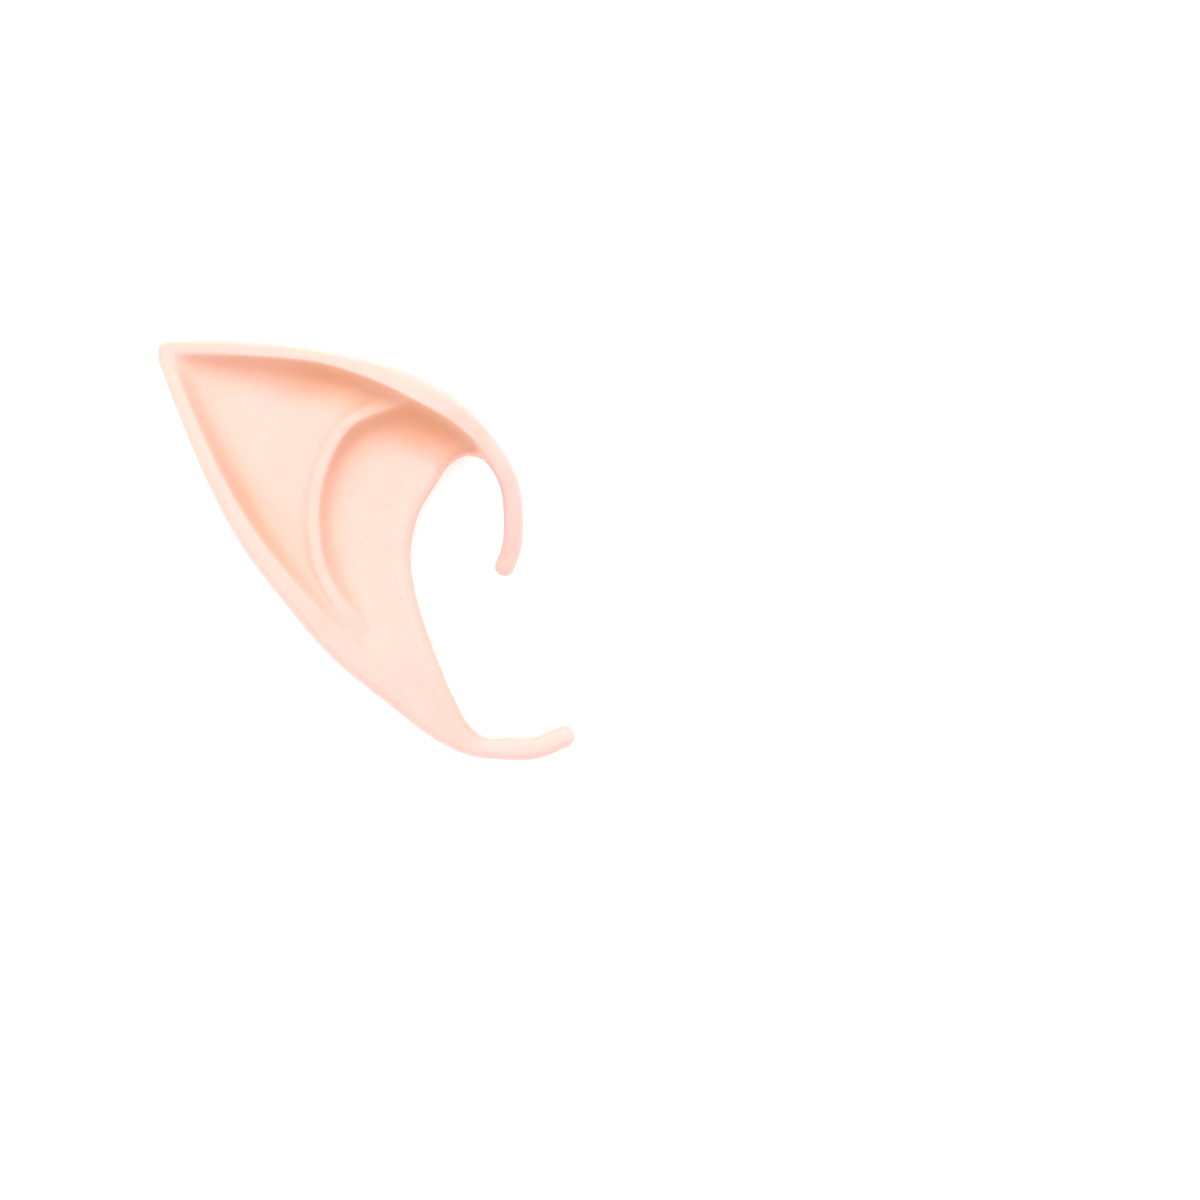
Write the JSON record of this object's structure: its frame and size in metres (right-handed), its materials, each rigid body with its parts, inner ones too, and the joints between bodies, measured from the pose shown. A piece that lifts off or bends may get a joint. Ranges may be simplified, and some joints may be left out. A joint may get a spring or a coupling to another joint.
{
  "type": "elf ear tip",
  "caption": "Thin-walled pointed ear of soft latex with a raised rim, an inner fold and two hooked tails, open along a crescent so that it slips over a real ear",
  "frame": {"origin": "middle of the overall box in plan, on the surface that the back of the ear rests on", "axes": "+X runs across the ear from the outer edge towards the two tails, +Y runs up the ear, +Z comes out of the face of the ear"},
  "size_m": [0.0874, 0.0882, 0.025],
  "materials": {
    "latex": "matte"
  },
  "bodies": {
    "root": {"ear_shell": "latex"}
  },
  "joints": []
}
